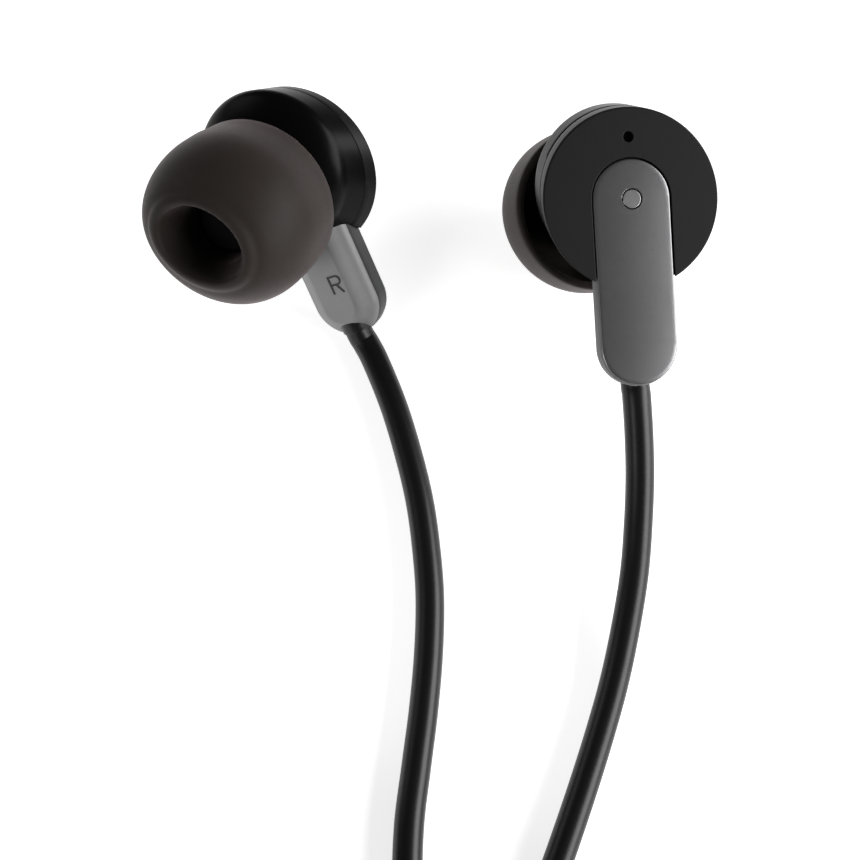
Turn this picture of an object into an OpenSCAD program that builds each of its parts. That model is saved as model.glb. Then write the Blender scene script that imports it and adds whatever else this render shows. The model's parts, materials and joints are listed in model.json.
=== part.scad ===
/* [Earpiece housing] */
// Radius of the flat outer face
face_r = 6.35; // [6:0.05:6.5]
// Height of the outer shell, from the face down to the parting line
outer_shell_h = 1.0; // [0.9:0.05:1.2]
// Height of the whole side wall, from the face to the back edge
side_h = 2.5; // [2.3:0.1:2.7]
// Radius of the side wall's back edge
back_r = 5.85; // [5.6:0.05:5.9]
// How far the back edge leans forward
back_forward = 0.4; // [0.2:0.1:0.6]
// How far the back edge leans up
back_up = 1.15; // [0.9:0.05:1.3]
// Radius of the vent hole above the stem plate
vent_r = 0.37; // [0.3:0.01:0.45]
// Height of the vent hole above the centre of the face
vent_up = 4.3; // [4:0.1:4.6]

/* [Stem] */
// Half width of the stem plate
plate_r = 2.78; // [2.6:0.02:2.9]
// Thickness of the stem plate
plate_t = 0.5; // [0.4:0.05:0.5]
// How far the stem plate stands proud of the face
plate_proud = 0.1; // [0:0.05:0.15]
// Clear gap around the stem plate in its recess
plate_gap = 0.1; // [0.05:0.01:0.15]
// Distance from the centre of the face to the end of the stem
stem_reach = 13.05; // [12:0.05:14]
// Radius of the round cap in the stem plate
cap_r = 0.66; // [0.6:0.02:0.75]

/* [Nozzle and ear tip] */
// How far forward of the face centre the nozzle stands
nozzle_forward = 1.05; // [0.9:0.05:1.2]
// Height of the nozzle against the face centre
nozzle_up = -0.15; // [-0.3:0.05:0]
// Outer radius of the nozzle
nozzle_r = 2.2; // [2:0.05:2.3]
// Depth of the nozzle's end behind the face
nozzle_end = 9.9; // [9.5:0.1:10.2]
// Largest radius of the ear tip
tip_r = 6.2; // [5.8:0.1:6.3]
// Depth behind the face at which the ear tip is widest
tip_depth = 8.6; // [8.4:0.1:8.8]

/* [Cord and plug] */
// Diameter of the cord
cord_d = 2.1; // [2.1:0.1:2.1]
// Turns of cord side by side across the coil
coil_columns = 4; // [4:1:4]
// Radius of the outermost turn of the coil
coil_outer_turn_r = 15.65; // [15.65:0.05:15.7]
// Radius of the plug's contact pin
pin_r = 1.75; // [1.75:0.01:1.75]
// Radius of the plug's moulded body
plug_body_r = 2.6; // [2.4:0.1:2.6]

/* [Control pod] */
// Length of the control pod
pod_l = 30; // [28:1:30]
// Width of the control pod
pod_w = 8.4; // [7.6:0.2:8.8]
// Height of the control pod
pod_h = 6.3; // [6.3:0.1:6.6]
// How far a button can be pressed
button_travel = 0.25; // [0.2:0.05:0.3]

/* [Hidden] */

$fn = 64;
eps = 0.01;

// Where each earpiece lies: the centre of its face, and how it is turned
left_at = [13.85, 1.07, 13.93];
left_turn = 10;
left_lean = 23.5;
left_roll = 8;
right_at = [-10.07, 6.44, 8.545];
right_turn = -30;
right_lean = 46;
right_roll = 1.5;

// Earpiece frame: x is forward, y is up, z is out through the face. Depths run down from the face.
wall_t = 0.7;
recess_depth = plate_t - plate_proud;
cover_top = -recess_depth;
cover_edge = -1.25;
cover_crown = -2.85;
cord_depth = 1.6;
cord_r = cord_d / 2;
cord_bore_r = cord_r + 0.02;
grommet_r = 1.16;
grommet_l = 2;
grommet_recess = 0.6;
driver_at = [0.4, 0.9];
driver_r = 4.3;
driver_top = -1.45;
driver_h = 2.1;
driver_gap = 0.05;
basket_t = 0.3;
mesh_t = 0.2;
cord_top = grommet_recess + grommet_l - stem_reach;
mic_size = [2, 1.3, 0.5];

// The housing's outer form: [depth, radius, forward, up] from the side wall's top to the nozzle's root
housing_form = [
    [0, face_r, 0, 0],
    [side_h, back_r, back_forward, back_up],
    [3.1, 5.6, 0.42, 1.12],
    [3.7, 5.03, 0.5, 0.95],
    [4.3, 4.1, 0.65, 0.65],
    [4.8, 3.3, 0.85, 0.25],
    [5.3, 2.65, 1.0, -0.05]
];

// Ear tip, measured along its own axis from the widest ring, mouth side positive
tip_bore_r = nozzle_r + 0.12;
tip_rib_r = nozzle_r + 0.07;
tip_dome_l = 6.3;
tip_skirt_back = -3.5;
tip_tube_back = -2.2;
// How far the tip slides before its inner tube leaves the nozzle
tip_pull = nozzle_end - tip_depth - tip_tube_back;
tip_lip_angle = 57;

// Control pod and coil positions
pod_x = 2.1;
pod_top_y = -75.5;
pod_wall = 0.9;
pod_round = 1.4;
button_y = [8, 0, -8];
coil_at = [-12.5, -61];
coil_lift = 0.3;
coil_layer = cord_d;
coil_inner_r = coil_outer_turn_r - (coil_columns - 0.5) * cord_d;
coil_outer_r = coil_outer_turn_r + cord_r;
tie_t = 0.3;
tie_angle = 30;
plug_x = -26.5;
plug_y = -89;
relief_l = 6;
plug_body_l = 14;
pin_l = 14;

// Routes of the cords where they aren't coiled, from the stems to the coil, the pod and the plug
left_route = [
    [14.6, -11, 6.8], [14.8, -13.5, 5.7], [14.9, -16.3, 4.5], [14.8, -19.4, 3.3], [14.5, -22.8, 2.3],
    [13.8, -26.6, 1.6], [12.9, -30.3, 1.2], [11.8, -33.8, 1.1], [10.3, -38, 1.1], [8.6, -42.4, 1.1],
    [6.8, -46.8, 1.1], [5.1, -51.2, 1.2], [3.8, -55.8, 1.3], [3.15, -61, 1.35]
];
right_route = [
    [-5.15, -4.5, 1.15], [-4.4, -6, 1.1], [-3, -9.6, 1.1], [-1.85, -13.5, 1.1], [-1, -17.2, 1.1],
    [-0.5, -20.9, 1.1], [-0.25, -24.5, 1.1], [-0.35, -28.5, 1.1], [-0.7, -32.5, 1.1],
    [-1.2, -36.4, 1.1], [-1.7, -40.6, 1.1], [-1.7, -45, 1.1], [-0.9, -50, 1.1], [0.4, -55, 1.2],
    [1.05, -61, 1.35]
];
left_to_pod = [[1.05, -61, 3.45], [1.05, -66, 3.35], [1.05, -71, 3.2], [1.05, -79, 3.15]];
right_to_pod = [[3.15, -61, 3.45], [3.15, -66, 3.35], [3.15, -71, 3.2], [3.15, -79, 3.15]];
main_to_coil = [
    [2.1, -102.5, 3.15], [2.1, -106, 3.1], [2.1, -108.3, 2.7], [1.5, -110.8, 2], [-0.4, -113.2, 1.3],
    [-3.2, -114, 1.1], [-6, -112.8, 1.1], [-7.6, -110, 1.1], [-8.1, -106, 1.1], [-8.1, -101, 1.1], [-8, -96, 1.2],
    [-7.8, -91.4, 1.9], [-8, -87, 3], [-9, -83, 4.4], [-11, -79.8, 5.4], [-13.8, -77.2, 5.55],
    [-16.5, -76.1, 5.55]
];
main_to_plug = [
    [-16.5, -76.1, 7.65], [-19.4, -76, 7.5], [-22.3, -77, 6.9], [-24.7, -79, 6], [-26.1, -82, 4.8],
    [-26.5, -85.5, 3.4], [-26.5, -88.5, 2.7], [-26.5, -94.9, 2.6]
];

// ---- helpers ----

function spin_x(v, a) = [v.x, v.y * cos(a) - v.z * sin(a), v.y * sin(a) + v.z * cos(a)];

function spin_y(v, a) = [v.x * cos(a) + v.z * sin(a), v.y, v.z * cos(a) - v.x * sin(a)];

function spin_z(v, a) = [v.x * cos(a) - v.y * sin(a), v.x * sin(a) + v.y * cos(a), v.z];

// Where a point on the cord's line inside a stem lies, at height y in the earpiece's own frame
function left_core(y) =
    left_at + spin_y(spin_x(spin_z([0, y, -cord_depth], left_roll), left_lean), left_turn);

function right_core(y) =
    right_at + spin_y(spin_x(spin_z([0, y, cord_depth], right_roll), right_lean), right_turn);

module on_left() {
    translate(left_at)
        rotate([0, left_turn, 0])
            rotate([left_lean, 0, 0])
                rotate([0, 0, left_roll])
                    mirror([1, 0, 0])
                        children();
}

module on_right() {
    translate(right_at)
        rotate([0, right_turn, 0])
            rotate([right_lean, 0, 0])
                rotate([0, 0, right_roll])
                    rotate([0, 180, 0])
                        children();
}

module in_pod() {
    translate([pod_x, pod_top_y - pod_l / 2, 0])
        children();
}

// Puts a shape that stands on +Z from its origin along the plug's axis, distance d from the relief
module on_plug(d) {
    translate([plug_x, plug_y - d, plug_body_r])
        rotate([90, 0, 0])
            children();
}

// A bar of half width r with round ends, from its top centre at y0 down to its bottom centre at y1
module bar(r, y0, y1) {
    translate([0, y0])
        circle(r);
    translate([0, y1])
        circle(r);
    translate([-r, y1])
        square([2 * r, y0 - y1]);
}

module slab(z0, z1) {
    translate([0, 0, z0])
        linear_extrude(z1 - z0)
            children();
}

function unit(v) = v / norm(v);

function along(pts, i) =
    unit(pts[min(i + 1, len(pts) - 1)] - pts[max(i - 1, 0)]);

// Points of one ring of a swept tube
function tube_ring(p, t, r, sides) =
    let (side = unit(cross(t, [0, 0, 1])), up = cross(side, t))
    [for (k = [0 : sides - 1]) p + r * (cos(360 * k / sides) * side + sin(360 * k / sides) * up)];

// Faces of a closed stack of rings, each with the same number of points
function stack_faces(rings, sides) = concat(
    [[for (k = [0 : sides - 1]) k]],
    [for (i = [0 : rings - 2], k = [0 : sides - 1])
        [i * sides + k, (i + 1) * sides + k, (i + 1) * sides + (k + 1) % sides]],
    [for (i = [0 : rings - 2], k = [0 : sides - 1])
        [i * sides + k, (i + 1) * sides + (k + 1) % sides, i * sides + (k + 1) % sides]],
    [[for (k = [sides - 1 : -1 : 0]) (rings - 1) * sides + k]]
);

module tube(pts, r) {
    sides = 8;
    polyhedron(
        points = [for (i = [0 : len(pts) - 1]) each tube_ring(pts[i], along(pts, i), r, sides)],
        faces = stack_faces(len(pts), sides)
    );
}

// A solid drawn through a stack of discs, each given as [depth, radius, forward, up]
module disc_stack(form) {
    hull() {
        for (s = form) {
            translate([s[2], s[3], -s[0]])
                cylinder(r = s[1], h = eps, $fn = 48);
        }
    }
}

module housing_solid() {
    disc_stack(housing_form);
}

module nozzle_place(depth) {
    translate([nozzle_forward, nozzle_up, -depth])
        children();
}

// ---- earpiece ----

module outer_shell() {
    color([0.14, 0.14, 0.14])
        difference() {
            intersection() {
                housing_solid();
                slab(-outer_shell_h, 1) circle(2 * face_r);
            }
            slab(-recess_depth, 1) bar(plate_r + plate_gap, 0, -2 * face_r);
            translate([0, vent_up, -2 * outer_shell_h])
                cylinder(r = vent_r, h = 4 * outer_shell_h);
            translate([0, 0, -2 * outer_shell_h])
                cylinder(r = 0.37, h = 2 * outer_shell_h);
            translate([-mic_size.x / 2 - 0.1, vent_up - mic_size.y / 2 - 0.1, -outer_shell_h - eps])
                cube([mic_size.x + 0.2, mic_size.y + 0.2, mic_size.z + eps]);
        }
}

module inner_shell() {
    color([0.05, 0.05, 0.05])
        difference() {
            union() {
                intersection() {
                    housing_solid();
                    slab(-7, -outer_shell_h) circle(2 * face_r);
                }
                nozzle_place(nozzle_end)
                    cylinder(r = nozzle_r, h = nozzle_end - 5);
                nozzle_place(9.5)
                    cylinder(r = tip_rib_r, h = 0.5);
            }
            translate([driver_at.x, driver_at.y, driver_top - driver_h - driver_gap])
                cylinder(r = driver_r + driver_gap, h = 3);
            translate([0.7, 0.45, -4.1])
                cylinder(r = 2.8, h = 2);
            nozzle_place(nozzle_end + 1)
                cylinder(r = 1.7, h = nozzle_end - 2.5);
            nozzle_place(nozzle_end + 1)
                cylinder(r = 1.95, h = 1.3);
        }
}

module stem_plate() {
    color([0.42, 0.42, 0.43])
        difference() {
            slab(-recess_depth, plate_proud) bar(plate_r, 0, plate_r - stem_reach);
            translate([0, 0, -1])
                cylinder(r = cap_r + 0.04, h = 2);
        }
}

// The cover's outline drawn in by some amount, as a thin slice at a height
module cover_slice(z, inset) {
    for (y = [-2, plate_r - stem_reach - 0.05]) {
        translate([0, y, z])
            cylinder(r = plate_r + 0.03 - inset, h = 0.05);
    }
}

module stem_cover() {
    color([0.33, 0.33, 0.33])
        difference() {
            hull() {
                $fn = 32;
                cover_slice(cover_top - 0.05, 0);
                cover_slice(cover_edge, 0);
                cover_slice(-1.75, 0.25);
                cover_slice(-2.15, 0.65);
                cover_slice(-2.6, 1.15);
                cover_slice(cover_crown, 1.6);
            }
            disc_stack([
                [-1, face_r + 0.25, -0.16, -0.46],
                [side_h, back_r + 0.05, back_forward, back_up],
                [4, back_r + 0.05, back_forward, back_up]
            ]);
            translate([0, -stem_reach - 1, -cord_depth])
                rotate([-90, 0, 0])
                    cylinder(r = cord_bore_r, h = 5);
            translate([0, grommet_recess - stem_reach, -cord_depth])
                rotate([-90, 0, 0])
                    cylinder(r = grommet_r + 0.02, h = grommet_l + 0.1);
        }
}

module plate_cap() {
    color([0.45, 0.45, 0.46])
        slab(-0.08, plate_proud - 0.02) circle(cap_r);
}

module plate_screw() {
    color([0.6, 0.6, 0.62]) {
        slab(-recess_depth, -0.12) circle(cap_r - 0.04);
        slab(-outer_shell_h + 0.05, -recess_depth) circle(0.35);
    }
}

module mark_l() {
    stroke = 0.14;
    square([stroke, 1.45]);
    square([0.8, stroke]);
}

module mark_r() {
    stroke = 0.14;
    square([stroke, 1.45]);
    translate([0, 1.45 - stroke])
        square([0.7, stroke]);
    translate([0, 0.65])
        square([0.7, stroke]);
    translate([0.65, 1.05])
        difference() {
            circle(0.4);
            circle(0.4 - stroke);
            translate([-1, -1])
                square([1, 2]);
        }
    polygon([[0.45, 0.7], [0.62, 0.7], [1.02, 0], [0.85, 0]]);
}

// Letter on the inside of the stem, read from the ear's side
module side_mark() {
    color([0.12, 0.12, 0.12])
        translate([-0.55, -9.2, cover_crown - 0.05])
            mirror([1, 0, 0])
                linear_extrude(0.05)
                    translate([-0.45, 0])
                        children();
}

module microphone() {
    color([0.7, 0.65, 0.4])
        translate([-mic_size.x / 2, vent_up - mic_size.y / 2, -outer_shell_h])
            cube(mic_size);
}

module board() {
    color([0.1, 0.35, 0.2])
        slab(driver_top + driver_gap, -outer_shell_h - 0.02)
            difference() {
                translate(driver_at)
                    circle(4.1);
                translate([-1, -6])
                    square([2, 3]);
            }
}

module driver_basket() {
    color([0.7, 0.7, 0.72])
        translate([driver_at.x, driver_at.y, driver_top - driver_h])
            difference() {
                cylinder(r = driver_r, h = driver_h);
                translate([0, 0, -1])
                    cylinder(r = driver_r - basket_t, h = driver_h - basket_t + 1);
            }
}

module driver_magnet() {
    color([0.55, 0.55, 0.57])
        translate([driver_at.x, driver_at.y, driver_top - 1.2])
            cylinder(r = 2.5, h = 1.2 - basket_t);
}

module voice_coil() {
    color([0.75, 0.4, 0.2])
        translate([driver_at.x, driver_at.y, driver_top - 1.7])
            difference() {
                cylinder(r = 2.85, h = 1.2);
                translate([0, 0, -1])
                    cylinder(r = 2.65, h = 4);
            }
}

module diaphragm() {
    color([0.85, 0.8, 0.65])
        translate([driver_at.x, driver_at.y, driver_top - 1.8])
            cylinder(r = driver_r - basket_t - 0.02, h = 0.1);
}

module nozzle_mesh() {
    color([0.25, 0.2, 0.2])
        nozzle_place(nozzle_end)
            cylinder(r = 1.93, h = mesh_t);
}

// Half section of the ear tip: dome, rolled lip, funnel, bore, inner tube, cavity and skirt
module tip_section() {
    dome = [for (a = [0 : tip_lip_angle / 12 : tip_lip_angle]) [tip_r * cos(a), tip_dome_l * sin(a)]];
    roof = [for (a = [60 : -12 : 0]) [3 + 2.4 * cos(a), 2.2 * sin(a)]];
    polygon(concat(
        [[tip_r - 0.05, tip_skirt_back]],
        dome,
        [[3.15, 5.35], [2.95, 5.25], [2.85, 4.9], [2.7, 4.2], [tip_bore_r, 2.6]],
        [[tip_bore_r, tip_tube_back], [3, tip_tube_back], [3, 2]],
        roof,
        [[5.35, tip_skirt_back]]
    ));
}

module ear_tip() {
    color([0.25, 0.23, 0.22])
        nozzle_place(tip_depth)
            rotate([180, 0, 0])
                rotate_extrude()
                    tip_section();
}

module cord_grommet() {
    color([0.08, 0.08, 0.08])
        translate([0, grommet_recess - stem_reach, -cord_depth])
            rotate([-90, 0, 0])
                difference() {
                    cylinder(r = grommet_r, h = grommet_l);
                    translate([0, 0, -1])
                        cylinder(r = cord_r, h = grommet_l + 2);
                }
}

// ---- control pod ----

// Discs at both ends of the pod, drawn in from its outline
module pod_slice(z, inset) {
    for (y = [-1, 1]) {
        translate([0, y * (pod_l - pod_w) / 2, z])
            cylinder(r = pod_w / 2 - inset, h = 0.05);
    }
}

// Lower half of the pod's case, open at the parting plane
module pod_half() {
    difference() {
        hull() {
            $fn = 32;
            pod_slice(0, pod_round);
            pod_slice(pod_round / 4, pod_round / 3);
            pod_slice(pod_round, 0);
            pod_slice(pod_h / 2 - 0.05, 0);
        }
        slab(pod_wall, pod_h) bar(pod_w / 2 - pod_wall, (pod_l - pod_w) / 2, (pod_w - pod_l) / 2);
        translate([0, pod_l / 2 + 1, pod_h / 2])
            rotate([90, 0, 0])
                linear_extrude(3) rotate(90) bar(cord_bore_r, cord_r, -cord_r);
        translate([0, 2 - pod_l / 2, pod_h / 2])
            rotate([90, 0, 0])
                cylinder(r = cord_bore_r, h = 3);
    }
}

module button_shape(i, gap) {
    if (i == 1) {
        circle(1.9 + gap);
    } else {
        bar(1.6 + gap, 1.4, -1.4);
    }
}

module pod_lower_shell() {
    color([0.12, 0.12, 0.12])
        in_pod()
            pod_half();
}

module pod_upper_shell() {
    color([0.12, 0.12, 0.12])
        in_pod()
            difference() {
                translate([0, 0, pod_h])
                    rotate([0, 180, 0])
                        pod_half();
                for (i = [0 : 2]) {
                    translate([0, button_y[i], pod_h / 2])
                        linear_extrude(pod_h)
                            button_shape(i, 0.08);
                }
            }
}

module pod_board() {
    color([0.1, 0.35, 0.2])
        in_pod()
            slab(pod_wall, pod_wall + 0.8) square([4.6, pod_l - 9], center = true);
}

module pod_switches() {
    color([0.75, 0.75, 0.7])
        in_pod()
            for (y = button_y) {
                translate([0, y, pod_wall + 0.8])
                    cylinder(r = 1.3, h = 1.2);
            }
}

module pod_microphone() {
    color([0.7, 0.65, 0.4])
        in_pod()
            translate([-1, 4, pod_wall + 0.8])
                cube([2, 1.4, 0.8]);
}

module button(i) {
    color([0.2, 0.2, 0.2])
        in_pod()
            translate([0, button_y[i], 0]) {
                slab(pod_h - pod_wall - 0.6, pod_h + 0.35) button_shape(i, 0);
                slab(pod_wall + 2 + button_travel + 0.05, pod_h - pod_wall - 0.6) circle(0.7);
            }
}

module pod_inlet_grommet() {
    color([0.08, 0.08, 0.08])
        in_pod()
            translate([0, pod_l / 2 - pod_wall - 1.4, pod_h / 2])
                rotate([90, 0, 0])
                    difference() {
                        linear_extrude(1.5) rotate(90) bar(1.6, cord_r, -cord_r);
                        for (dx = [-cord_r, cord_r]) {
                            translate([dx, 0, -1])
                                cylinder(r = cord_r - 0.05, h = 4);
                        }
                    }
}

module pod_outlet_grommet() {
    color([0.08, 0.08, 0.08])
        in_pod()
            translate([0, pod_wall + 2 - pod_l / 2, pod_h / 2])
                rotate([90, 0, 0])
                    difference() {
                        cylinder(r = 1.6, h = 1.5);
                        translate([0, 0, -1])
                            cylinder(r = cord_r - 0.05, h = 4);
                    }
}

// ---- plug ----

module plug_relief() {
    color([0.08, 0.08, 0.08])
        on_plug(0)
            difference() {
                cylinder(r1 = 1.45, r2 = 1.9, h = relief_l);
                translate([0, 0, -1])
                    cylinder(r = cord_r + 0.02, h = relief_l + 2);
            }
}

module plug_body() {
    color([0.1, 0.1, 0.1])
        on_plug(relief_l)
            cylinder(r = plug_body_r, h = plug_body_l);
}

module contact(z0, z1) {
    on_plug(relief_l + plug_body_l + z0)
        cylinder(r = pin_r, h = z1 - z0);
}

module plug_sleeve() {
    color([0.85, 0.72, 0.4])
        contact(0, 5);
}

module plug_second_ring() {
    color([0.85, 0.72, 0.4])
        contact(5.6, 7.6);
}

module plug_first_ring() {
    color([0.85, 0.72, 0.4])
        contact(8.2, 10.2);
}

module plug_tip() {
    color([0.85, 0.72, 0.4])
        on_plug(relief_l + plug_body_l + 10.8)
            rotate_extrude()
                polygon([[0, 0], [pin_r, 0], [pin_r, 0.6], [1.3, 1.2], [1.7, 1.9], [0.6, 3.1], [0, 3.2]]);
}

module plug_insulators() {
    color([0.05, 0.05, 0.05])
        for (z = [5, 7.6, 10.2]) {
            contact(z, z + 0.6);
        }
}

// ---- cords ----

// Ring of a coil's outer shape, from its first layer to its last
module coil_ring(first, last) {
    translate([coil_at.x, coil_at.y, coil_lift + first * coil_layer])
        rotate_extrude()
            translate([coil_inner_r, 0])
                square([coil_outer_r - coil_inner_r, (last - first) * coil_layer]);
}

module left_cord() {
    color([0.1, 0.1, 0.1]) {
        tube(concat([left_core(cord_top), left_core(-stem_reach)], left_route), cord_r);
        tube(left_to_pod, cord_r);
    }
}

module right_cord() {
    color([0.1, 0.1, 0.1]) {
        tube(concat([right_core(cord_top), right_core(-stem_reach)], right_route), cord_r);
        tube(right_to_pod, cord_r);
    }
}

module main_cord() {
    color([0.1, 0.1, 0.1]) {
        tube(main_to_coil, cord_r);
        tube(main_to_plug, cord_r);
    }
}

module ear_cord_coil() {
    color([0.1, 0.1, 0.1])
        coil_ring(0, 2);
}

module main_cord_coil() {
    color([0.1, 0.1, 0.1])
        coil_ring(2, 4);
}

module cord_tie() {
    color([0.2, 0.2, 0.22])
        translate([coil_at.x, coil_at.y, 0])
            rotate([0, 0, 100])
                rotate_extrude(angle = tie_angle)
                    difference() {
                        translate([coil_inner_r - tie_t, 0])
                            square([coil_outer_r - coil_inner_r + 2 * tie_t, 4 * coil_layer + 2 * tie_t]);
                        translate([coil_inner_r, tie_t])
                            square([coil_outer_r - coil_inner_r, 4 * coil_layer]);
                    }
}

// ---- the part ----

on_left() outer_shell();  // left_outer_shell
on_left() inner_shell();  // left_inner_shell
on_left() stem_plate();  // left_stem_plate
on_left() stem_cover();  // left_stem_cover
on_left() plate_cap();  // left_plate_cap
on_left() plate_screw();  // left_plate_screw
on_left() side_mark() mark_l();  // left_side_mark
on_left() microphone();  // left_microphone
on_left() board();  // left_board
on_left() driver_basket();  // left_driver_basket
on_left() driver_magnet();  // left_driver_magnet
on_left() voice_coil();  // left_voice_coil
on_left() diaphragm();  // left_diaphragm
on_left() nozzle_mesh();  // left_nozzle_mesh
on_left() ear_tip();  // left_ear_tip
on_left() cord_grommet();  // left_cord_grommet
on_right() outer_shell();  // right_outer_shell
on_right() inner_shell();  // right_inner_shell
on_right() stem_plate();  // right_stem_plate
on_right() stem_cover();  // right_stem_cover
on_right() plate_cap();  // right_plate_cap
on_right() plate_screw();  // right_plate_screw
on_right() side_mark() mark_r();  // right_side_mark
on_right() microphone();  // right_microphone
on_right() board();  // right_board
on_right() driver_basket();  // right_driver_basket
on_right() driver_magnet();  // right_driver_magnet
on_right() voice_coil();  // right_voice_coil
on_right() diaphragm();  // right_diaphragm
on_right() nozzle_mesh();  // right_nozzle_mesh
on_right() ear_tip();  // right_ear_tip
on_right() cord_grommet();  // right_cord_grommet
pod_lower_shell();
pod_upper_shell();
pod_board();
pod_switches();
pod_microphone();
button(0);  // volume_up_button
button(1);  // play_button
button(2);  // volume_down_button
pod_inlet_grommet();
pod_outlet_grommet();
plug_relief();
plug_body();
plug_sleeve();
plug_second_ring();
plug_first_ring();
plug_tip();
plug_insulators();
left_cord();
right_cord();
main_cord();
ear_cord_coil();
main_cord_coil();
cord_tie();
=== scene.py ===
import json
import math

import bmesh
import bpy
from mathutils import Matrix, Vector


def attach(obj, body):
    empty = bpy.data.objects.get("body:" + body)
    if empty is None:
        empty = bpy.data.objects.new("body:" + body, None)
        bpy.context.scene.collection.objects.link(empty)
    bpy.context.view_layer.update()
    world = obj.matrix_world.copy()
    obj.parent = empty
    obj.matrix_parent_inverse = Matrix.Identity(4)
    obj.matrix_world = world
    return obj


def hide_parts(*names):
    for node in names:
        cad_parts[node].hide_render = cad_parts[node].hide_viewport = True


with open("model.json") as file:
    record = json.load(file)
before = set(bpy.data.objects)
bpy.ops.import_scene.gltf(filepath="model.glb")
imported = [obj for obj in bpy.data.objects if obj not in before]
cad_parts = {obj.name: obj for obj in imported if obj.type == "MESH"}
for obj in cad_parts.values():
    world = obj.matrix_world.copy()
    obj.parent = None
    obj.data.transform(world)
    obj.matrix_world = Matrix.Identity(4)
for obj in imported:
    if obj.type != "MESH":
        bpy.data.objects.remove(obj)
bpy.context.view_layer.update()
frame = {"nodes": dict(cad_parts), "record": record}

MM = 0.001
BODY = "earphones"

# Driving sizes of an earpiece, in millimetres, in its own frame: x forward, y up, z out of the face
FACE_R = 6.35
PART_DEPTH = 1.0
SIDE_DEPTH = 2.5
BACK_R = 5.85
BACK_SHIFT = (0.4, 1.15)
PLATE_R = 2.78
PLATE_PROUD = 0.1
PLATE_CROWN = 0.08
RECESS = 0.4
STEM_REACH = 13.05
CAP_R = 0.66
VENT_R = 0.37
VENT_UP = 4.3
SCREW_R = 0.37
NOZZLE = (1.05, -0.15)
NOZZLE_R = 2.2
NOZZLE_END = 9.9
TIP_DEPTH = 8.6
TIP_R = 6.2
TIP_DOME = 6.3
CORD_DEPTH = 1.6
CORD_R = 1.05
CORD_PLAY = 0.02
GROMMET_IN = 0.6
GROMMET_L = 2.0
GROMMET_R = 1.16
CORD_START = GROMMET_IN + GROMMET_L - STEM_REACH
EDGE_R = 0.12
NOZZLE_BORE = 1.7
TIP_BORE = NOZZLE_R + 0.12
TIP_THROAT = 2.8
TIP_TUBE_R = 3.0
TIP_TUBE_BACK = -2.2

# Coil, pod, plug and tie: where they lie and their sizes, in millimetres. The buttons are named with
# their places along the pod, from its middle.
COIL = (-12.5, -61.0)
COLUMNS = (15.65, 13.55, 11.45, 9.35)
LAYERS = (1.35, 3.45, 5.55, 7.65)
POD_X = 2.1
POD_TOP = -75.5
POD_L = 30.0
POD_W = 8.4
POD_H = 6.3
BUTTONS = {"volume_up": 8, "play": 0, "volume_down": -8}
BUTTON_R = 1.6
BUTTON_REACH = 1.4
PLAY_R = 1.9
BUTTON_PROUD = 0.35
GRIP_R = 2.6
GRIP_END = 20.0
RELIEF_END = 6.0
PIN_R = 1.75
PIN_END = 34.0
PLUG = (-26.5, -89.0, GRIP_R)
TIE_THICK = 0.24
TIE_BULGE = 0.06

# Points round a housing wall or an ear tip, and steps between two given points of a cord
WALL_SIDES = 128
LEAD_STEPS = 8


# ---- camera ----

def add(name, data):
    """New object with this data, in the scene."""
    obj = bpy.data.objects.new(name, data)
    bpy.context.collection.objects.link(obj)
    return obj


def aim(obj, target):
    obj.rotation_euler = (Vector(target) - obj.location).to_track_quat("-Z", "Y").to_euler()


camera = add("camera", bpy.data.cameras.new("camera"))
camera.data.sensor_width = 36.0
camera.data.lens = 58.0
camera.data.clip_start = 0.002
camera.data.clip_end = 5.0
camera.location = Vector((-0.24, -46.07, 99.98)) * MM
aim(camera, Vector((-0.24, -11.16, 0.0)) * MM)
bpy.context.scene.camera = camera


# ---- helpers ----

def placement(at, turn, lean, roll, flip):
    """Matrix from an earpiece's own frame in millimetres to the row frame in metres."""
    return (
        Matrix.Translation(Vector(at) * MM)
        @ Matrix.Rotation(math.radians(turn), 4, "Y")
        @ Matrix.Rotation(math.radians(lean), 4, "X")
        @ Matrix.Rotation(math.radians(roll), 4, "Z")
        @ flip
        @ Matrix.Scale(MM, 4)
    )


SIDES = {
    "left": placement((13.85, 1.07, 13.93), 10, 23.5, 8, Matrix.Diagonal((-1, 1, 1, 1))),
    "right": placement((-10.07, 6.44, 8.545), -30, 46, 1.5, Matrix.Rotation(math.pi, 4, "Y")),
}
WORLD = Matrix.Scale(MM, 4)


def circle(r, x=0.0, y=0.0, z=0.0, sides=96):
    steps = [2 * math.pi * k / sides for k in range(sides)]
    return [Vector((x + r * math.cos(a), y + r * math.sin(a), z)) for a in steps]


def bar(r, top, bottom, z, sides=48):
    """Outline of a bar with round ends, at height z."""
    steps = [math.pi * k / sides for k in range(sides + 1)]
    upper = [Vector((r * math.cos(a), top + r * math.sin(a), z)) for a in steps]
    lower = [Vector((-r * math.cos(a), bottom - r * math.sin(a), z)) for a in steps]
    return upper + lower


def loft(name, rings, loop=False):
    """Mesh object in millimetres through rings of equally many points, capped unless it is a loop."""
    mesh = bmesh.new()
    rows = [[mesh.verts.new(p) for p in ring] for ring in rings]
    count = len(rings[0])
    pairs = list(zip(rows, rows[1:]))
    if loop:
        pairs.append((rows[-1], rows[0]))
    for low, high in pairs:
        for k in range(count):
            mesh.faces.new((low[k], low[(k + 1) % count], high[(k + 1) % count], high[k]))
    if not loop:
        mesh.faces.new(rows[0])
        mesh.faces.new(rows[-1])
    bmesh.ops.recalc_face_normals(mesh, faces=mesh.faces)
    data = bpy.data.meshes.new(name)
    mesh.to_mesh(data)
    mesh.free()
    return add(name, data)


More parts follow.
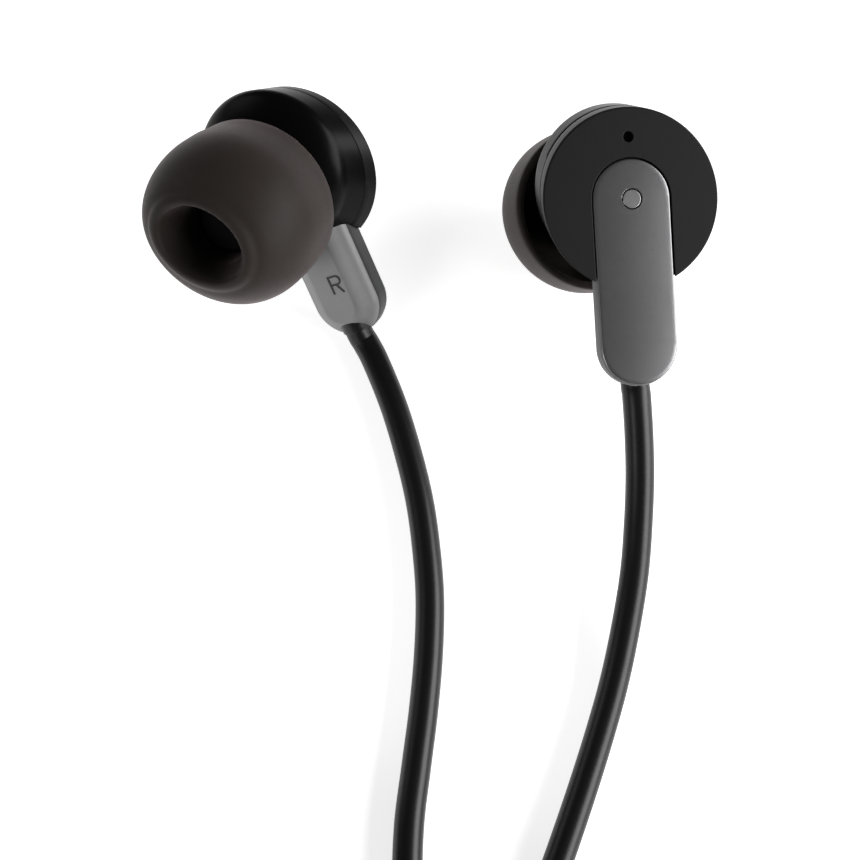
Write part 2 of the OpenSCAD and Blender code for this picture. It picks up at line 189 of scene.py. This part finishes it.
def lathe(name, profile, x=0.0, y=0.0, loop=False, sides=96):
    """Mesh object turned about an upright axis, from (radius, height) pairs."""
    return loft(name, [circle(r, x, y, z, sides) for r, z in profile], loop)


def bake(obj):
    """Turns an object's modifiers into its mesh."""
    graph = bpy.context.evaluated_depsgraph_get()
    made = bpy.data.meshes.new_from_object(obj.evaluated_get(graph))
    obj.modifiers.clear()
    obj.data = made


def cut(obj, *tools):
    """Cuts the tools out of obj, and removes them."""
    for tool in tools:
        step = obj.modifiers.new("cut", "BOOLEAN")
        step.operation = "DIFFERENCE"
        step.solver = "EXACT"
        step.object = tool
        bake(obj)
        bpy.data.objects.remove(tool)


def soften(obj, width, angle=50):
    """Rounds an object's sharp edges."""
    step = obj.modifiers.new("edges", "BEVEL")
    step.width = width
    step.segments = 2
    step.limit_method = "ANGLE"
    step.angle_limit = math.radians(angle)
    bake(obj)


def settle(obj, matrix, slot, node, look=None, body=BODY, angle=35):
    """Puts a piece in its place in the row frame, with its finish, its body and the node it replaces."""
    obj.data.transform(matrix)
    if matrix.determinant() < 0:
        obj.data.flip_normals()
    obj.data.shade_smooth()
    obj.data.set_sharp_from_angle(angle=math.radians(angle))
    obj.data.materials.clear()
    obj.data.materials.append(FINISHES[look or slot])
    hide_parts(node)
    level = obj.modifiers.new("flat faces stay flat", "WEIGHTED_NORMAL")
    level.mode = "FACE_AREA"
    level.weight = 100
    level.keep_sharp = True
    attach(obj, body)


# ---- materials ----

def finish(name, colour, rough, metal=0.0, grain=(900.0, 0.02), vary=0.12, stretch=(1, 1, 1), **extra):
    """Procedural finish: base colour and roughness that vary a little, and a fine bump.

    grain is the bump's scale, per metre, and its strength."""
    material = bpy.data.materials.new(name)
    material.use_nodes = True
    nodes = material.node_tree.nodes
    links = material.node_tree.links
    shader = nodes["Principled BSDF"]
    place = nodes.new("ShaderNodeTexCoord")
    mapping = nodes.new("ShaderNodeMapping")
    mapping.inputs["Scale"].default_value = stretch
    links.new(place.outputs["Object"], mapping.inputs["Vector"])
    wide = nodes.new("ShaderNodeTexNoise")
    wide.inputs["Scale"].default_value = 260.0
    wide.inputs["Detail"].default_value = 5.0
    fine = nodes.new("ShaderNodeTexNoise")
    fine.inputs["Scale"].default_value = grain[0]
    fine.inputs["Detail"].default_value = 4.0
    links.new(mapping.outputs["Vector"], wide.inputs["Vector"])
    links.new(mapping.outputs["Vector"], fine.inputs["Vector"])
    tint = nodes.new("ShaderNodeMixRGB")
    tint.inputs["Color1"].default_value = (*[c * (1 - vary) for c in colour], 1)
    tint.inputs["Color2"].default_value = (*[min(1, c * (1 + vary)) for c in colour], 1)
    links.new(wide.outputs["Fac"], tint.inputs["Fac"])
    links.new(tint.outputs["Color"], shader.inputs["Base Color"])
    spread = nodes.new("ShaderNodeMapRange")
    spread.inputs["To Min"].default_value = rough * 0.85
    spread.inputs["To Max"].default_value = min(1.0, rough * 1.15)
    links.new(fine.outputs["Fac"], spread.inputs["Value"])
    links.new(spread.outputs["Result"], shader.inputs["Roughness"])
    bump = nodes.new("ShaderNodeBump")
    bump.inputs["Strength"].default_value = grain[1]
    bump.inputs["Distance"].default_value = 0.00005
    links.new(fine.outputs["Fac"], bump.inputs["Height"])
    links.new(bump.outputs["Normal"], shader.inputs["Normal"])
    shader.inputs["Metallic"].default_value = metal
    for key, value in extra.items():
        shader.inputs[key.replace("_", " ")].default_value = value
    return material


FINISHES = {
    "shell_matte": finish("matte black shell", (0.005, 0.005, 0.005), 0.45, grain=(9000, 0.06),
                          Specular_IOR_Level=0.22),
    "shell_gloss": finish("gloss black shell", (0.002, 0.002, 0.002), 0.3, grain=(3000, 0.02),
                          Specular_IOR_Level=0.08),
    "rim": finish("satin rim", (0.005, 0.005, 0.005), 0.38, grain=(6000, 0.01), Specular_IOR_Level=0.14),
    # Painted light: the cap is the plate's own metal, given this lighter copy of its colour
    "cap": finish("plate metal painted lighter for cap", (0.3, 0.3, 0.305), 0.32, 0.9, (6000, 0.04)),
    "stem_metal": finish("satin anodised plate", (0.19, 0.19, 0.193), 0.3, 0.9, (6000, 0.04)),
    "stem_grey": finish("satin grey cover", (0.22, 0.22, 0.223), 0.5, 0.3, (7000, 0.04)),
    # Painted shade: the stems' side walls get this dark colour in place of the plate's metal and the cover's
    # grey
    "stem_wall_painted_shade": finish("painted shade on stem walls", (0.05, 0.05, 0.052), 0.45, grain=(7000, 0.04),
                        Specular_IOR_Level=0.25),
    "steel": finish("steel", (0.55, 0.55, 0.57), 0.3, 1.0, (4000, 0.05), stretch=(1, 1, 12)),
    "mark": finish("printed mark", (0.004, 0.004, 0.004), 0.5, grain=(9000, 0.05)),
    "gold": finish("plated contact", (0.85, 0.62, 0.28), 0.18, 1.0, (3000, 0.02)),
    "circuit_board": finish("solder mask", (0.02, 0.12, 0.05), 0.35, grain=(3000, 0.1), vary=0.3),
    "magnet": finish("nickel plate", (0.42, 0.42, 0.44), 0.25, 1.0, (3000, 0.04)),
    "copper": finish("enamelled wire", (0.6, 0.24, 0.1), 0.3, 0.9, (9000, 0.3), stretch=(1, 1, 10)),
    "diaphragm": finish("thin film", (0.6, 0.55, 0.42), 0.3, grain=(2500, 0.2)),
    "mesh": finish("woven mesh", (0.003, 0.0025, 0.0025), 0.7, grain=(12000, 0.6), vary=0.4,
                   Specular_IOR_Level=0.08),
    "cord_black": finish("cord jacket", (0.004, 0.004, 0.004), 0.35, grain=(5000, 0.04),
                         Specular_IOR_Level=0.35),
    "switch": finish("switch", (0.6, 0.6, 0.55), 0.5, grain=(4000, 0.1)),
    "button": finish("button", (0.015, 0.015, 0.015), 0.3, grain=(8000, 0.08)),
    "insulator": finish("insulator", (0.006, 0.006, 0.006), 0.35, grain=(5000, 0.05)),
    "tie": finish("woven tie", (0.02, 0.02, 0.021), 0.75, grain=(14000, 0.8), vary=0.4),
    "silicone": finish("translucent silicone", (0.023, 0.0185, 0.0165), 0.55, grain=(4000, 0.02),
                       IOR=1.41, Specular_IOR_Level=0.16, Subsurface_Weight=0.4,
                       Subsurface_Radius=(1.0, 0.88, 0.84), Subsurface_Scale=0.0008,
                       Sheen_Weight=0.12, Sheen_Roughness=0.4, Sheen_Tint=(1.0, 0.82, 0.82, 1.0)),
}
for node in frame["record"]["subparts"]:
    carried = frame["nodes"][node["node"]]
    carried.data.materials.clear()
    carried.data.materials.append(FINISHES[node["material_slot"]])


# ---- cords ----

def smooth(points):
    """Points of one smooth line through the given points."""
    pts = [Vector(p) for p in points]
    pts = [2 * pts[0] - pts[1]] + pts + [2 * pts[-1] - pts[-2]]
    out = []
    for a, b, c, d in zip(pts, pts[1:], pts[2:], pts[3:]):
        for k in range(LEAD_STEPS):
            t = k / LEAD_STEPS
            out.append(0.5 * (2 * b + (c - a) * t + (2 * a - 5 * b + 4 * c - d) * t ** 2
                              + (3 * b - a - 3 * c + d) * t ** 3))
    return out + [pts[-2]]


def eased(keys, t):
    """Value at t between (t, value) keys, with a soft start and end to each change."""
    for (t0, v0), (t1, v1) in zip(keys, keys[1:]):
        if t0 <= t <= t1:
            f = (t - t0) / (t1 - t0)
            return v0 + (v1 - v0) * f * f * (3 - 2 * f)
    return keys[-1][1]


def wound(start, turns, radius_keys, height_keys):
    """Points of a clockwise coil. The keys give radius and height against degrees wound."""
    step = 7.5
    out = []
    for k in range(int(turns * 360 / step) + 1):
        a = math.radians(start - k * step)
        r = eased(radius_keys, k * step)
        out.append(Vector((COIL[0] + r * math.cos(a), COIL[1] + r * math.sin(a),
                           eased(height_keys, k * step))))
    return out


def core(side, y):
    """A point on the cord's line inside a stem, in millimetres in the row frame."""
    return SIDES[side] @ Vector((0, y, -CORD_DEPTH)) / MM


def make_cord(name, points, replaced):
    data = bpy.data.curves.new(name, "CURVE")
    data.dimensions = "3D"
    data.bevel_depth = CORD_R * MM
    data.bevel_resolution = 6
    data.use_fill_caps = True
    spline = data.splines.new("POLY")
    spline.points.add(len(points) - 1)
    for knot, point in zip(spline.points, points):
        knot.co = (*(point * MM), 1)
    spline.use_smooth = True
    obj = add(name, data)
    data.materials.append(FINISHES["cord_black"])
    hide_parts(*replaced)
    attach(obj, BODY)


LEFT_ROUTE = [
    (14.6, -11, 6.8), (14.8, -13.5, 5.7), (14.9, -16.3, 4.5), (14.8, -19.4, 3.3), (14.5, -22.8, 2.3),
    (13.8, -26.6, 1.6), (12.9, -30.3, 1.2), (11.8, -33.8, 1.1), (10.3, -38, 1.1), (8.6, -42.4, 1.1),
    (6.8, -46.8, 1.1), (5.1, -51.2, 1.2), (3.8, -55.8, 1.3),
]
RIGHT_ROUTE = [
    (-5.15, -4.5, 1.15), (-4.4, -6, 1.1), (-3, -9.6, 1.1), (-1.85, -13.5, 1.1), (-1, -17.2, 1.1),
    (-0.5, -20.9, 1.1), (-0.25, -24.5, 1.1), (-0.35, -28.5, 1.1), (-0.7, -32.5, 1.1),
    (-1.2, -36.4, 1.1), (-1.7, -40.6, 1.1), (-1.7, -45, 1.1), (-0.9, -50, 1.1), (0.4, -55, 1.2),
]
TO_POD = [(-66, 3.35), (-71, 3.2), (-79, 3.15)]
MAIN_TO_COIL = [
    (2.1, -102.5, 3.15), (2.1, -106, 3.1), (2.1, -108.3, 2.7), (1.5, -110.8, 2), (-0.4, -113.2, 1.3),
    (-3.2, -114, 1.1), (-6, -112.8, 1.1), (-7.6, -110, 1.1), (-8.1, -106, 1.1), (-8.1, -101, 1.1),
    (-8, -96, 1.2), (-7.8, -91.4, 1.9), (-8, -87, 3), (-9, -83, 4.4), (-11, -79.8, 5.4),
    (-13.8, -77.2, 5.55),
]
MAIN_TO_PLUG = [
    (-19.4, -76, 7.5), (-22.3, -77, 6.9), (-24.7, -79, 6), (-26.1, -82, 4.8), (-26.5, -85.5, 3.4),
    (-26.5, -88.5, 2.7), (-26.5, -94.9, 2.6),
]
OUT, MID, INNER, CORE = COLUMNS
left_coil = wound(
    0, 4,
    [(0, OUT), (285, OUT), (345, INNER), (630, INNER), (660, CORE), (1005, CORE), (1065, MID), (1440, MID)],
    [(0, LAYERS[0]), (655, LAYERS[0]), (690, LAYERS[1]), (1440, LAYERS[1])],
)
right_coil = wound(
    0, 4,
    [(0, MID), (280, MID), (340, CORE), (630, CORE), (665, INNER), (1000, INNER), (1060, OUT), (1440, OUT)],
    [(0, LAYERS[0]), (600, LAYERS[0]), (632, LAYERS[1]), (1440, LAYERS[1])],
)
# The main cord keeps each column for most of a turn, inwards on one layer and outwards on the next
order = list(COLUMNS) + list(reversed(COLUMNS))
main_keys = [(0, OUT)]
for turn, (now, after) in enumerate(zip(order, order[1:])):
    main_keys += [(360 * turn + 318, now), (360 * turn + 360, after)]
main_keys.append((2880, OUT))
main_coil = wound(
    255, 8, main_keys,
    [(0, LAYERS[2]), (1395, LAYERS[2]), (1440, LAYERS[3]), (2880, LAYERS[3])],
)


def cord_line(start, coil, end):
    """One line: a smooth lead into the coil, the coil, and a smooth way out of it."""
    lead = smooth(list(start) + coil[:2])
    tail = smooth(coil[-2:] + [Vector(p) for p in end])
    overlap = LEAD_STEPS + 1
    return lead[:-overlap] + coil + tail[overlap:]


left_points = cord_line(
    [core("left", CORD_START), core("left", -STEM_REACH)] + LEFT_ROUTE,
    left_coil, [(POD_X - CORD_R, y, z) for y, z in TO_POD],
)
right_points = cord_line(
    [core("right", CORD_START), core("right", -STEM_REACH)] + RIGHT_ROUTE,
    right_coil, [(POD_X + CORD_R, y, z) for y, z in TO_POD],
)
main_points = cord_line(MAIN_TO_COIL, main_coil, MAIN_TO_PLUG)


# ---- earpiece ----

# Outer form behind the face: (depth, radius, forward, up), wall to nozzle root
SHOULDER = [
    (SIDE_DEPTH, BACK_R, *BACK_SHIFT), (2.72, 5.8, 0.41, 1.16), (2.95, 5.7, 0.41, 1.15),
    (3.2, 5.52, 0.42, 1.1), (3.5, 5.22, 0.46, 1.02), (3.85, 4.77, 0.53, 0.88), (4.25, 4.17, 0.63, 0.68),
    (4.65, 3.58, 0.77, 0.38), (5.0, 3.05, 0.92, 0.1), (5.3, 2.65, 1.0, -0.05),
    (5.6, 2.42, *NOZZLE), (5.95, 2.28, *NOZZLE), (6.3, NOZZLE_R, *NOZZLE),
]


def side_at(depth):
    """Radius and centre of the housing's side wall at a depth behind the face."""
    f = depth / SIDE_DEPTH
    return FACE_R + (BACK_R - FACE_R) * f, BACK_SHIFT[0] * f, BACK_SHIFT[1] * f


def wall_ring(depth, inset=0.0):
    r, x, y = side_at(depth)
    return circle(r - inset, x, y, -depth, WALL_SIDES)


def refinish_walls(obj, side, look, steepest):
    """Gives another finish to the faces that stand across the earpiece's own z axis: the satin rim on the
    shell, and painted shade on the stems' side walls.
    """
    obj.data.materials.append(FINISHES[look])
    out = (SIDES[side].to_3x3() @ Vector((0, 0, 1))).normalized()
    for face in obj.data.polygons:
        if abs(face.normal.dot(out)) < steepest:
            face.material_index = 1


def make_outer_shell(side):
    rings = [wall_ring(PART_DEPTH, 0.06), wall_ring(PART_DEPTH - 0.04), wall_ring(0.6), wall_ring(0.2)]
    for a in (0, 30, 60, 90):
        drop = EDGE_R * (1 - math.sin(math.radians(a)))
        rings.append(wall_ring(drop, EDGE_R * (1 - math.cos(math.radians(a)))))
    obj = loft(side + "_face", rings)
    recess = loft("tool", [bar(PLATE_R + 0.1, 0, -2 * FACE_R, z) for z in (-RECESS, 1)])
    vent = lathe("tool", [(VENT_R, -3), (VENT_R, 1)], 0, VENT_UP, sides=48)
    screw = lathe("tool", [(SCREW_R, -3), (SCREW_R, 1)], sides=32)
    cut(obj, recess, vent, screw)
    soften(obj, 0.05)
    settle(obj, SIDES[side], "shell_matte", side + "_outer_shell")
    refinish_walls(obj, side, "rim", 0.6)


# Nozzle with its rib, the seat of its mesh and its bore: (depth, radius)
NOSE = [
    (8.9, NOZZLE_R), (9.0, NOZZLE_R + 0.07), (9.5, NOZZLE_R + 0.07), (9.6, NOZZLE_R),
    (NOZZLE_END - 0.08, NOZZLE_R - 0.02), (NOZZLE_END, NOZZLE_R - 0.1), (NOZZLE_END, 1.97),
    (NOZZLE_END - 0.3, 1.95), (NOZZLE_END - 0.3, NOZZLE_BORE), (6.0, NOZZLE_BORE),
]


def make_inner_shell(side):
    rings = [wall_ring(PART_DEPTH, 0.06), wall_ring(PART_DEPTH + 0.04)]
    rings += [wall_ring(d) for d in (1.4, 1.8, 2.15, 2.35)]
    rings += [circle(r, x, y, -d, WALL_SIDES) for d, r, x, y in SHOULDER]
    rings += [circle(r, *NOZZLE, -d, WALL_SIDES) for d, r in NOSE]
    obj = loft(side + "_housing", rings)
    settle(obj, SIDES[side], "shell_gloss", side + "_inner_shell", angle=50)


def make_stem_plate(side):
    end = PLATE_R - STEM_REACH
    shoulder = PLATE_PROUD - PLATE_CROWN
    wall_top = shoulder - EDGE_R
    rings = [bar(PLATE_R, 0, end, -RECESS), bar(PLATE_R, 0, end, wall_top)]
    for a in (30, 60, 90):
        inset = EDGE_R * (1 - math.cos(math.radians(a)))
        rings.append(bar(PLATE_R - inset, 0, end, wall_top + EDGE_R * math.sin(math.radians(a))))
    flat = PLATE_R - EDGE_R
    for k in range(1, 12):
        r = flat * (1 - k / 11.5)
        rings.append(bar(r, 0, end, shoulder + PLATE_CROWN * (1 - (r / flat) ** 2)))
    obj = loft(side + "_plate", rings)
    cut(obj, lathe("tool", [(CAP_R + 0.08, -2), (CAP_R + 0.08, 2)], sides=64))
    soften(obj, 0.03, 60)
    settle(obj, SIDES[side], "stem_metal", side + "_stem_plate")
    # Painted shade on the plate's side walls
    refinish_walls(obj, side, "stem_wall_painted_shade", 0.3)


def make_plate_cap(side):
    top = PLATE_PROUD - 0.02
    obj = lathe(side + "_cap", [(CAP_R, -0.08), (CAP_R, top - 0.05), (CAP_R - 0.02, top - 0.02),
                                (CAP_R - 0.06, top)], sides=64)
    # The cap keeps the plate's metal slot but shows the lighter copy of it: painted light
    settle(obj, SIDES[side], "stem_metal", side + "_plate_cap", look="cap")


# Back of the stem: (inset from its widest outline, height)
COVER_SECTION = [
    (0.0, -RECESS - 0.05), (0.0, -RECESS - 0.4), (0.0, -1.2), (0.02, -1.38), (0.07, -1.54), (0.16, -1.7),
    (0.29, -1.86), (0.46, -2.0), (0.66, -2.16), (0.93, -2.41), (1.17, -2.61), (1.36, -2.74), (1.5, -2.82),
    (1.6, -2.85),
]

# Lays a piece turned about an upright axis along the cord's line inside a stem
ALONG_CORD = Matrix.Translation((0, CORD_START, -CORD_DEPTH)) @ Matrix.Rotation(math.radians(90), 4, "X")


def make_stem_cover(side):
    end = PLATE_R - STEM_REACH - 0.05
    wide = PLATE_R + 0.03
    rings = [bar(wide - 0.05, -1, end, -RECESS)]
    rings += [bar(wide - inset, -1, end, z) for inset, z in COVER_SECTION]
    obj = loft(side + "_stem", rings)
    housing = loft("tool", [wall_ring(-1, -0.05), wall_ring(SIDE_DEPTH, -0.05),
                            circle(BACK_R + 0.05, *BACK_SHIFT, -4, WALL_SIDES)])
    bore = lathe("tool", [(CORD_R + CORD_PLAY, -2), (CORD_R + CORD_PLAY, 6)], sides=64)
    seat = lathe("tool", [(GROMMET_R + 0.02, 0), (GROMMET_R + 0.02, 4)], sides=64)
    bore.data.transform(ALONG_CORD)
    seat.data.transform(ALONG_CORD)
    cut(obj, housing, bore, seat)
    soften(obj, 0.04)
    settle(obj, SIDES[side], "stem_grey", side + "_stem_cover")
    # Painted shade on the cover's side walls
    refinish_walls(obj, side, "stem_wall_painted_shade", 0.3)


def make_grommet(side):
    lip = GROMMET_L + 0.2
    profile = [(CORD_R, 0), (GROMMET_R, 0), (GROMMET_R, lip - 0.08), (GROMMET_R - 0.03, lip - 0.02),
               (GROMMET_R - 0.06, lip), (CORD_R, lip - 0.02)]
    obj = lathe(side + "_grommet", profile, loop=True, sides=64)
    obj.data.transform(ALONG_CORD)
    settle(obj, SIDES[side], "cord_black", side + "_cord_grommet")


def tip_profile():
    """Ear tip's section: (radius, distance from its widest ring, towards the mouth)."""
    dome = [(TIP_R * math.cos(a), TIP_DOME * math.sin(a))
            for a in [math.radians(3 * k) for k in range(16)]]
    lip = [(4.02, 4.74), (3.86, 4.84), (3.72, 4.98), (3.58, 5.14), (3.4, 5.28), (3.2, 5.36), (3.04, 5.36),
           (2.93, 5.27), (2.87, 5.1), (2.84, 4.86)]
    funnel = [(2.76, 4.5), (2.66, 4.1), (2.56, 3.7), (TIP_BORE + 0.1, 3.3), (TIP_BORE, 2.9), (TIP_BORE, 0),
              (TIP_BORE, TIP_TUBE_BACK + 0.1), (TIP_BORE + 0.1, TIP_TUBE_BACK)]
    tube = [(TIP_TUBE_R - 0.15, TIP_TUBE_BACK), (TIP_TUBE_R - 0.02, TIP_TUBE_BACK + 0.1), (TIP_TUBE_R, -1.5),
            (TIP_TUBE_R, 0.5), (TIP_TUBE_R + 0.02, 1.8)]
    roof = [(TIP_TUBE_R + 2.35 * math.cos(a), 2.2 * math.sin(a))
            for a in [math.radians(90 - 15 * k) for k in range(2, 7)]]
    skirt = [(5.4, -1.2), (5.42, -2.4), (5.46, -3.3), (5.56, -3.47), (5.75, -3.52), (5.95, -3.46),
             (6.02, -3.3)]
    edge = [(6.05, -2.6), (TIP_R - 0.01, -1.2)]
    return dome + lip + funnel + tube + roof + skirt + edge


def tip_ring(r, s):
    """Ring of the tip, round at the skirt and bore and oval at the mouth, its long way at 45 degrees."""
    rise = min(1.0, max(0.0, s) / TIP_DOME)
    oval = 0.012 + 0.14 * rise * rise
    if r < TIP_BORE + 0.01 or s < 0:
        oval = 0.012 if r > 5 else 0.0
    elif r < TIP_THROAT:
        oval *= (r - TIP_BORE) / (TIP_THROAT - TIP_BORE)
    points = []
    for k in range(WALL_SIDES):
        a = 2 * math.pi * k / WALL_SIDES
        long_way = r * (1 + oval) * math.cos(a) * math.sqrt(0.5)
        short_way = r * (1 - oval) * math.sin(a) * math.sqrt(0.5)
        points.append(Vector((NOZZLE[0] + long_way - short_way, NOZZLE[1] + long_way + short_way,
                              -TIP_DEPTH - s)))
    return points


def make_ear_tip(side):
    rings = [tip_ring(r, s) for r, s in tip_profile()]
    obj = loft(side + "_tip", rings, loop=True)
    settle(obj, SIDES[side], "silicone", side + "_ear_tip", body=side + "_tip", angle=70)
    # The left tip lies on the table, so nothing of it passes below
    for point in obj.data.vertices:
        point.co.z = max(0.0, point.co.z)


for side in SIDES:
    make_outer_shell(side)
    make_inner_shell(side)
    make_stem_plate(side)
    make_plate_cap(side)
    make_stem_cover(side)
    make_grommet(side)
    make_ear_tip(side)


# ---- pod ----

def pod_ring(z, inset):
    reach = (POD_L - POD_W) / 2
    middle = POD_TOP - POD_L / 2
    ring = bar(POD_W / 2 - inset, middle + reach, middle - reach, z, 32)
    return [p + Vector((POD_X, 0, 0)) for p in ring]


def pod_tool(reach, y):
    """A tool for a bore into the pod from y, for one cord or, with a reach, for two side by side."""
    ring = bar(CORD_R + CORD_PLAY, reach, -reach, 0, 24)
    ends = [Vector((POD_X, y, POD_H / 2)), Vector((POD_X, y + 5, POD_H / 2))]
    return loft("tool", [[Vector((p.y, 0, p.x)) + end for p in ring] for end in ends])


def make_pod_half(name, flip, node, openings):
    wall = 0.9
    seam = POD_H / 2 - 0.01
    corner = [(1.2, 0.0), (0.8, 0.06), (0.45, 0.22), (0.2, 0.5), (0.05, 0.9), (0.0, 1.3)]
    section = corner + [(0.0, POD_H / 2 - 0.08), (0.05, seam), (wall, seam), (wall, wall)]
    rings = [pod_ring(z, inset) for inset, z in section]
    if flip:
        rings = [[Vector((p.x, p.y, POD_H - p.z)) for p in ring] for ring in rings]
    obj = loft(name, rings)
    cut(obj, pod_tool(CORD_R, POD_TOP - 3), pod_tool(0.0, POD_TOP - POD_L - 2), *openings)
    soften(obj, 0.08)
    settle(obj, WORLD, "shell_matte", node)


def button_ring(name, z, inset):
    y = POD_TOP - POD_L / 2 + BUTTONS[name]
    if name == "play":
        return circle(PLAY_R - inset, POD_X, y, z, 64)
    ring = bar(BUTTON_R - inset, y + BUTTON_REACH, y - BUTTON_REACH, z, 32)
    return [p + Vector((POD_X, 0, 0)) for p in ring]


def make_button(name):
    top = POD_H + BUTTON_PROUD
    section = [(0.0, POD_H - 1.5), (0.0, top - 0.15), (0.03, top - 0.06), (0.1, top - 0.01), (0.25, top),
               (0.6, top - 0.04), (1.0, top - 0.1)]
    obj = loft(name + "_cap", [button_ring(name, z, inset) for inset, z in section])
    settle(obj, WORLD, "button", name + "_button", body=name)


make_pod_half("pod_lower", False, "pod_lower_shell", [])
button_holes = [loft("tool", [button_ring(name, z, -0.08) for z in (POD_H / 2, POD_H + 2)])
                for name in BUTTONS]
make_pod_half("pod_upper", True, "pod_upper_shell", button_holes)
for name in BUTTONS:
    make_button(name)


# ---- plug ----

def along_plug(obj):
    """Lays a piece turned about an upright axis along the plug. Its heights count from the relief's end."""
    obj.data.transform(Matrix.Translation(PLUG) @ Matrix.Rotation(math.radians(90), 4, "X"))
    return obj


def make_relief():
    profile = [(CORD_R, 0.0), (1.3, 0.0), (1.42, 0.1), (1.47, 0.3)]
    for k in range(5):
        low = 0.6 + k
        r = 1.48 + 0.08 * k
        profile += [(r, low), (r, low + 0.45), (r - 0.2, low + 0.55), (r - 0.2, low + 0.85)]
    profile += [(1.88, RELIEF_END - 0.3), (1.9, RELIEF_END), (CORD_R, RELIEF_END)]
    obj = along_plug(lathe("relief", profile, loop=True, sides=64))
    settle(obj, WORLD, "cord_black", "plug_relief")


def make_plug_body():
    groove = GRIP_R - 0.06
    profile = [(1.9, RELIEF_END), (2.3, 6.02), (2.5, 6.2), (2.58, 6.5), (GRIP_R, 7.0)]
    for k in range(6):
        low = 9.0 + 1.2 * k
        profile += [(GRIP_R, low), (groove, low + 0.1), (groove, low + 0.4), (GRIP_R, low + 0.5)]
    profile += [(GRIP_R, 19.2), (2.55, 19.7), (2.4, 19.95), (2.2, GRIP_END), (1.8, GRIP_END)]
    obj = along_plug(lathe("plug_grip", profile, sides=96))
    settle(obj, WORLD, "shell_matte", "plug_body")


def make_contact():
    profile = [(PIN_R, 30.8), (PIN_R, 31.3), (1.68, 31.5), (1.42, 31.9), (1.32, 32.05), (1.36, 32.2),
               (1.62, 32.6), (1.68, 32.8), (1.6, 33.0), (1.0, 33.6), (0.6, 33.92), (0.3, PIN_END)]
    obj = along_plug(lathe("contact_tip", profile, sides=96))
    settle(obj, WORLD, "gold", "plug_tip")


make_relief()
make_plug_body()
make_contact()


# ---- tie ----

def band_ring(turn, thick):
    """Round-cornered ring about the coil's section at an angle, so far outside it, kept off the floor."""
    low, high = min(COLUMNS) - CORD_R, max(COLUMNS) + CORD_R
    top = LAYERS[-1] + CORD_R
    a = math.radians(turn)
    points = []
    for i, (corner_r, corner_z) in enumerate([(low, 0.3), (high, 0.3), (high, top), (low, top)]):
        for step in range(5):
            t = math.radians(180 + 90 * i + 90 * step / 4)
            r = corner_r + thick * math.cos(t)
            z = corner_z + thick * math.sin(t)
            points.append(Vector((COIL[0] + r * math.cos(a), COIL[1] + r * math.sin(a), max(0.0, z))))
    return points


def make_tie():
    """A woven band wound round the coil's section, as two close turns."""
    turns = [100.6 + 28.8 * k / 14 for k in range(15)]
    bulges = [TIE_BULGE * math.sin(math.pi * ((k % 7) / 7)) for k in range(15)]
    outer = [band_ring(turn, TIE_THICK + bulge) for turn, bulge in zip(turns, bulges)]
    inner = [band_ring(turn, 0.0) for turn in reversed(turns)]
    obj = loft("tie_band", outer + inner, loop=True)
    settle(obj, WORLD, "tie", "cord_tie", angle=60)


make_tie()

make_cord("left_lead", left_points,
          ["left_cord", "ear_cord_coil"])
make_cord("right_lead", right_points,
          ["right_cord", "ear_cord_coil"])
make_cord("main_lead", main_points,
          ["main_cord", "main_cord_coil"])


# ---- room ----

def make_floor():
    data = bpy.data.meshes.new("floor")
    reach = 3.0
    data.from_pydata([(-reach, -reach, 0), (reach, -reach, 0), (reach, reach, 0), (-reach, reach, 0)],
                     [], [(0, 1, 2, 3)])
    obj = add("floor", data)
    pale = finish("pale floor", (0.9, 0.9, 0.9), 0.8, grain=(200, 0.02), vary=0.01, Specular_IOR_Level=0.0,
                  Emission_Color=(1, 1, 1, 1), Emission_Strength=0.75)
    data.materials.append(pale)


def make_light(name, place, target, size, power):
    data = bpy.data.lights.new(name, "AREA")
    data.shape = "RECTANGLE"
    data.size, data.size_y = size
    data.energy = power
    obj = add(name, data)
    obj.location = place
    aim(obj, target)


make_floor()
make_light("right", (0.5, -0.05, 0.24), (0, 0, 0.01), (0.6, 0.36), 5.0)
make_light("back left", (-0.5, 0.25, 0.3), (0, 0, 0), (0.3, 0.3), 0.3)
make_light("front left", (-0.42, -0.4, 0.28), (-0.01, 0, 0.01), (0.25, 0.25), 1.2)
world = bpy.data.worlds.new("room")
bpy.context.scene.world = world
world.use_nodes = True
world.node_tree.nodes["Background"].inputs["Color"].default_value = (1, 1, 1, 1)
world.node_tree.nodes["Background"].inputs["Strength"].default_value = 0.1
bpy.context.scene.view_settings.view_transform = "Standard"
